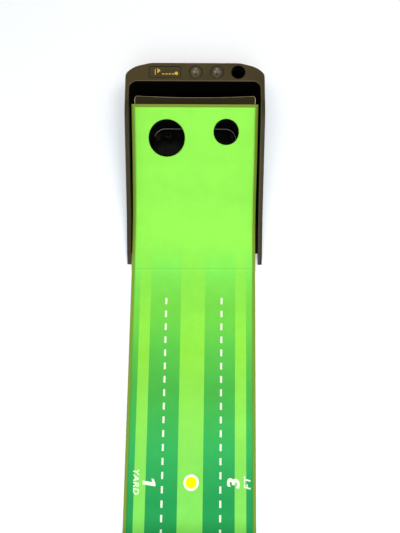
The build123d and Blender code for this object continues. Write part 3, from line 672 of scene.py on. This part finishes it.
def moulded_paint(
    name, top, wall, edge, roughness, grain=0.25, shine=0.2, depth=None, outline=None
):
    """Moulded plastic with a fine grain, faint cloudiness, painted wall shade and painted edge
    highlights.

    The colours go by the surface's own normal n. Tops have one colour and upright walls a darker
    one, as painted shade. Rounded edges, where n is between up and level, take a painted highlight
    in the edge colour where they face the front, or the left on the right half of the object. depth
    is (start, end, colour) in heights, painted shade whose colour takes over from start to end.
    outline is (low, high, width, colour), a painted shade line of that width just inside a box's
    sides.
    """
    paint = Paint(name, roughness=roughness, Specular_IOR_Level=shine)
    coordinates = paint.node("TexCoord")
    place = coordinates.outputs["Object"]
    normal = paint.node("SeparateXYZ", coordinates.outputs["Normal"])
    normal_x, normal_y, up = normal.outputs[:3]
    x, y, z = paint.node("SeparateXYZ", place).outputs[:3]
    grit = paint.noise(place, GRIT_SCALE)
    cloud = paint.noise(place, 9.0, 4.0)
    lighter = rgb(*(c * CLOUD_LIGHTER for c in top))
    cloudy = paint.mix(paint.step(cloud, NOISE_LOW, NOISE_HIGH), rgb(*top), lighter)
    # Painted shade: upright walls take the darker wall colour
    colour = paint.mix(paint.step(up, *WALL_TO_TOP), rgb(*wall), cloudy)
    # Painted highlight: rounded edges facing the front, or the left on the right half, take the edge
    # colour where the grit allows
    right_half = paint.math("GREATER_THAN", x, 0.0)
    outward = paint.math("MULTIPLY_ADD", right_half, normal_x, normal_y)
    faces_the_light = paint.step(paint.math("MULTIPLY", outward, -1.0), *HIGHLIGHT_FACING)
    rounded = paint.math("SUBTRACT", paint.step(up, *EDGE_BEGINS), paint.step(up, *EDGE_ENDS))
    painted_highlight = paint.math("MULTIPLY", rounded, paint.step(grit, *HIGHLIGHT_GRIT))
    colour = paint.mix(paint.math("MULTIPLY", faces_the_light, painted_highlight), colour, rgb(*edge))
    # Painted shade, taking over by height
    if depth:
        start, end, shade_colour = depth
        colour = paint.mix(paint.step(z, start, end), colour, rgb(*shade_colour))
    # A painted shade line just inside the box's sides
    if outline:
        low, high, width, edge_shade_colour = outline
        within = []
        for at, side in ((x, 0), (y, 1)):
            middle, half = (low[side] + high[side]) / 2, (high[side] - low[side]) / 2
            off = paint.math("ABSOLUTE", paint.math("SUBTRACT", at, middle))
            within.append(paint.math("LESS_THAN", off, half - width))
        colour = paint.mix(paint.math("MULTIPLY", *within), rgb(*edge_shade_colour), colour)
    paint.colour(colour)
    gloss = paint.spread(cloud, roughness - 0.05, roughness + 0.07)
    paint.put(gloss, paint.shader.inputs["Roughness"])
    paint.bump(grit, grain, GRIT_DEPTH)
    return paint.material


def lip_paint():
    """The flap's dark moulding: faint streaks, painted shade on its walls, and a painted highlight on
    its rounded edges all round.
    """
    paint = Paint("lip_moulding", roughness=0.36, Specular_IOR_Level=0.08)
    coordinates = paint.node("TexCoord")
    place = coordinates.outputs["Object"]
    up = paint.node("SeparateXYZ", coordinates.outputs["Normal"]).outputs[2]
    grit = paint.noise(place, GRIT_SCALE)
    streaks = paint.noise(paint.stretched(place, 2.0, 60.0), 4.0, 3.0)
    streak_share = paint.step(streaks, NOISE_LOW, NOISE_HIGH)
    streaky = paint.mix(streak_share, rgb(34, 27, 6), rgb(42, 34, 9))
    # Painted shade on the flap's upright walls
    colour = paint.mix(paint.step(up, *LIP_WALL_TO_TOP), rgb(6, 5, 4), streaky)
    # Painted highlight along the flap's rounded edges
    begins, ends = paint.step(up, *EDGE_BEGINS), paint.step(up, *LIP_EDGE_ENDS)
    rounded = paint.math("SUBTRACT", begins, ends)
    paint.colour(paint.mix(rounded, colour, rgb(226, 212, 158)))
    paint.bump(grit, 0.2, GRIT_DEPTH)
    return paint.material


YARN_PITCH = 0.0016
YARNS_ROUND_TAPE = 24
# Painted shade: the tape is darker where it is folded, by this share
FOLD_SHADE_RANGE = (0.72, 0.98)
FOLD_SHADE_SHARE = 0.45


def woven_paint(name, base, light):
    """Woven tape: crossed ribs from two waves, at the pitch of its yarns."""
    paint = Paint(name, roughness=0.85, Sheen_Weight=0.15)
    uv = paint.node("UVMap", uv_map="place").outputs[0]
    parts = paint.node("SeparateXYZ", uv)
    round_it, along_it = parts.outputs[:2]
    turn = 2 * math.pi
    warp = paint.math("SINE", paint.math("MULTIPLY", along_it, turn / YARN_PITCH))
    weft = paint.math("SINE", paint.math("MULTIPLY", round_it, turn * YARNS_ROUND_TAPE))
    weave = paint.math("MULTIPLY", warp, weft)
    height = paint.node("MapRange", weave, -1.0, 1.0, 0.0, 1.0).outputs[0]
    colour = paint.mix(height, rgb(*base), rgb(*light))
    # Painted shade where the tape is folded: at its outer edge, and where it meets the pile
    round_turn = paint.math("MULTIPLY", round_it, turn)
    fold = paint.math("ABSOLUTE", paint.math("COSINE", round_turn))
    fold_shade = paint.math("MULTIPLY", paint.step(fold, *FOLD_SHADE_RANGE), FOLD_SHADE_SHARE)
    paint.colour(paint.mix(fold_shade, colour, rgb(*(c * 0.5 for c in base))))
    paint.bump(height, 0.5, 0.0004)
    return paint.material


def plain_paint(name, base, roughness, **inputs):
    """A small part's finish: one colour with fine noise in its gloss and bump."""
    paint = Paint(name, roughness=roughness, **inputs)
    place = paint.node("TexCoord").outputs["Object"]
    specks = paint.noise(place, 700.0)
    darker = tuple(c * 0.82 for c in base)
    paint.colour(paint.mix(specks, rgb(*darker), rgb(*base)))
    paint.bump(specks, 0.15, 0.0002)
    return paint.material


def steady(red, green, blue):
    """A colour function for pile_paint that gives one printed colour."""

    def one_colour(paint, place):
        made = paint.node("RGB")
        made.outputs[0].default_value = rgb(red, green, blue)
        return made.outputs[0]

    return one_colour


# --- Building ---

header_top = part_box("header")[1].z
rest_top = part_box("middle_ball_rest")[1].z
# The frame's painted wall shade and painted edge highlight colours
FRAME_WALL_SHADE, FRAME_EDGE_HIGHLIGHT = (7, 6, 5), (118, 106, 70)
FRAME_ROUGHNESS = 0.38
# Painted shade: the header goes dark from 3 to 8 mm under its top, so the open seat's inside and the
# well are dark, and so are the rests' rims above their bowls
SEAT_SHADE = (header_top - 0.003, header_top - 0.008, (5, 4, 4))
RIM_SHADE = (rest_top - 0.0045, rest_top - 0.0005, (36, 30, 17))
FINISHES = {
    "header": moulded_paint(
        "header_moulding", (61, 51, 26), FRAME_WALL_SHADE, FRAME_EDGE_HIGHLIGHT, FRAME_ROUGHNESS,
        depth=SEAT_SHADE,
    ),
    "left_rail": moulded_paint(
        "rail_moulding", (50, 41, 19), FRAME_WALL_SHADE, FRAME_EDGE_HIGHLIGHT, FRAME_ROUGHNESS
    ),
    # The base plate's near black is painted shade for the well it lies in
    "base_plate": moulded_paint(
        "base_moulding", (7, 7, 6), (4, 4, 4), (12, 11, 9), 0.6, shine=0.12
    ),
    "ramp_flap": lip_paint(),
    # The tray's near-white edge colour is a painted highlight on its rim, and its near-black body is
    # painted shade
    "ball_tray": moulded_paint(
        "tray_moulding", (9, 8, 4), (7, 6, 4), (205, 200, 178), 0.25, shine=0.15
    ),
    # Painted shade on the rests: their steep bowl walls and their rims
    "middle_ball_rest": moulded_paint(
        "rest_gloss", (74, 63, 30), (22, 18, 10), (76, 66, 38), 0.27, grain=0.05, shine=0.6,
        depth=RIM_SHADE,
    ),
    # The plate's dark outline is painted shade where it sits in its pocket
    "name_plate": moulded_paint(
        "plate_moulding", (58, 50, 26), (8, 7, 5), (60, 54, 40), 0.45,
        outline=(*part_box("name_plate"), 0.0014, (10, 8, 6)),
    ),
    "emblem": plain_paint("gold_print", (255, 200, 70), 0.4, Metallic=0.35),
    "feet": plain_paint("foot_rubber", (34, 34, 34), 0.8),
    "header_screws": plain_paint("zinc_steel", (170, 170, 175), 0.35, Metallic=1.0),
    "upper_hook_tape": plain_paint("hook_tape_weave", (40, 40, 40), 0.9),
}
SAME_FINISH = {
    "right_rail": "left_rail",
    "toe_ramp": "base_plate",
    "right_ball_rest": "middle_ball_rest",
    "rail_screws": "header_screws",
    "toe_screws": "header_screws",
    "tray_screws": "header_screws",
    "left_hinge_pin": "header_screws",
    "right_hinge_pin": "header_screws",
    "lower_hook_tape": "upper_hook_tape",
}


def finish_frame():
    """Gives each node that isn't replaced its finish."""
    for node in list(FINISHES) + list(SAME_FINISH):
        paint = FINISHES[SAME_FINISH.get(node, node)]
        mesh = frame["nodes"][node].data
        mesh.materials.clear()
        mesh.materials.append(paint)


finish_frame()

mat = make_mat()
mat.data.materials.append(pile_paint("velvet_green", striped_green))
binding = make_binding()
binding.data.materials.append(woven_paint("olive_tape", (97, 119, 16), (143, 167, 36)))
stitches = make_stitches()
stitches.data.materials.append(plain_paint("olive_thread", (146, 162, 78), 0.7))
for piece in (mat, binding, stitches):
    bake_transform(piece)
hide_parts("mat_end", "mat_runner", "mat_roll")
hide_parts("end_binding", "runner_binding")

spot_y = toe_y - SPOT_Y_BEFORE_TOE
spot_s = run_to(spot_y)
white = pile_paint("white_print", steady(243, 244, 216))
marks = [
    make_dashes(),
    make_ring("spot_ring", spot_s, RING_INNER_RADIUS, RING_OUTER_RADIUS),
    make_one("mark_one", 0.0362, -0.1242, spot_y + 0.0005, 1, wide=1.15),
    make_word(
        "mark_yard", "YARD", 0.0165, -0.1605, spot_y + 0.0015, 1,
        slant=0.2, wide=1.08, weight=0.022, spacing=1.12,
    ),
    make_word(
        "mark_three", "3", 0.0362, 0.1128, spot_y - 0.001, -1,
        slant=0.12, wide=1.22, weight=0.038,
    ),
    make_word(
        "mark_feet", "FT", 0.0186, 0.1515, spot_y + 0.0005, -1,
        slant=0.2, wide=1.12, weight=0.022, spacing=1.15,
    ),
]
spot = make_ring("spot", spot_s, SPOT_CENTRE_RADIUS, SPOT_RADIUS, filled=True)
spot.data.materials.append(pile_paint("yellow_print", steady(255, 238, 0)))
for mark in marks:
    mark.data.materials.append(white)
for mark in marks + [spot]:
    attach(mark, "frame")

# --- Floor, light and camera ---

VIEW_BACK = 0.1466
VIEW_HEIGHT = 1.194
VIEW_SIDE = 0.0165
VIEW_TILT = math.radians(7.3)
VIEW_ROLL = math.radians(0.23)
LENS = 27.0
SENSOR_WIDTH = 36
FLOOR_HALF = 6.0
FLOOR_DROP = 0.0003
FLOOR_GLOW = 0.16
ROOM_LIGHT = 0.46
WHITE = (1, 1, 1, 1)
WARM = (1.0, 0.97, 0.92)
SKY = (0.62, 0.82, 1.0)
# Each light's name, place, aim, size, power and colour
LIGHTS = [
    ("left_softbox", (-1.3, 0.3, 2.8), (0, 0.2, 0), 1.1, 17, WARM),
    ("right_softbox", (1.3, 0.3, 2.8), (0, 0.2, 0), 1.1, 30, WARM),
    ("window", (0.1, -1.6, 2.23), (0, 0.4, 0), 1.6, 40, SKY),
    ("back_softbox", (0.2, 3.0, 1.0), (0, 0.4, 0.1), 0.7, 5, WHITE[:3]),
]


def make_floor():
    """A plain pale floor, just under the object."""
    signs = [(-1, -1), (1, -1), (1, 1), (-1, 1)]
    corners = np.array([(FLOOR_HALF * x, FLOOR_HALF * y, -FLOOR_DROP) for x, y in signs])
    floor = add_piece("floor", corners, [[0, 1, 2, 3]])
    glow = {"Emission_Strength": FLOOR_GLOW, "Emission_Color": WHITE}
    floor.data.materials.append(plain_paint("pale_floor", (255, 255, 255), 0.9, **glow))


def make_light(name, place, aim, size, power, colour):
    """A square soft light at a place, facing a point."""
    light = bpy.data.lights.new(name, "AREA")
    light.shape = "SQUARE"
    light.size = size
    light.energy = power
    light.color = colour
    lamp = bpy.data.objects.new(name, light)
    lamp.location = place
    towards = np.array(aim, float) - np.array(place, float)
    flat = math.hypot(towards[0], towards[1])
    lamp.rotation_euler = (math.atan2(flat, -towards[2]), 0, math.atan2(-towards[0], towards[1]))
    bpy.context.scene.collection.objects.link(lamp)


def make_camera():
    """The camera looks almost straight down from a standing height, turned a little to the frame."""
    data = bpy.data.cameras.new("camera")
    data.sensor_width = SENSOR_WIDTH
    data.lens = LENS
    camera = bpy.data.objects.new("camera", data)
    turn = Matrix.Rotation(VIEW_TILT, 4, "X") @ Matrix.Rotation(VIEW_ROLL, 4, "Z")
    place = Matrix.Translation((VIEW_SIDE, toe_y - VIEW_BACK, VIEW_HEIGHT))
    camera.matrix_world = place @ turn
    bpy.context.scene.collection.objects.link(camera)
    bpy.context.scene.camera = camera


make_floor()
for light in LIGHTS:
    make_light(*light)
world = bpy.data.worlds.new("room")
world.use_nodes = True
background = world.node_tree.nodes["Background"]
background.inputs["Color"].default_value = WHITE
background.inputs["Strength"].default_value = ROOM_LIGHT
bpy.context.scene.world = world
bpy.context.scene.view_settings.view_transform = "Standard"
make_camera()
